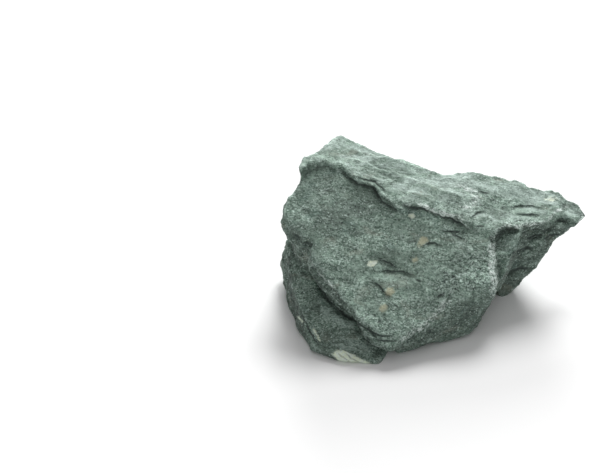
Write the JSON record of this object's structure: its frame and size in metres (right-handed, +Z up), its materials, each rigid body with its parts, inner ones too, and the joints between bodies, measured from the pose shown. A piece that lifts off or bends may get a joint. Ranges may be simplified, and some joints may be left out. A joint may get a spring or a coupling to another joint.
{
  "type": "green slate stone",
  "caption": "Rough wedge of green slate with a broad split face, a stepped ledge above it and an overhanging beak at one end, for rockeries and aquascapes.",
  "frame": {"origin": "middle of the bounding box in plan, at the level of the ground that the stone stands on", "axes": "+X along the stone's longest way, towards the tip of the beak; +Y away from the broad split face, towards the crest; +Z up"},
  "size_m": [0.23, 0.1618, 0.0976],
  "materials": {
    "green_slate": "rough split and broken faces, fine salt-and-pepper grain, pale bruised edges and a few ochre stains"
  },
  "bodies": {
    "root": {"slate_stone": "green_slate"}
  },
  "joints": []
}
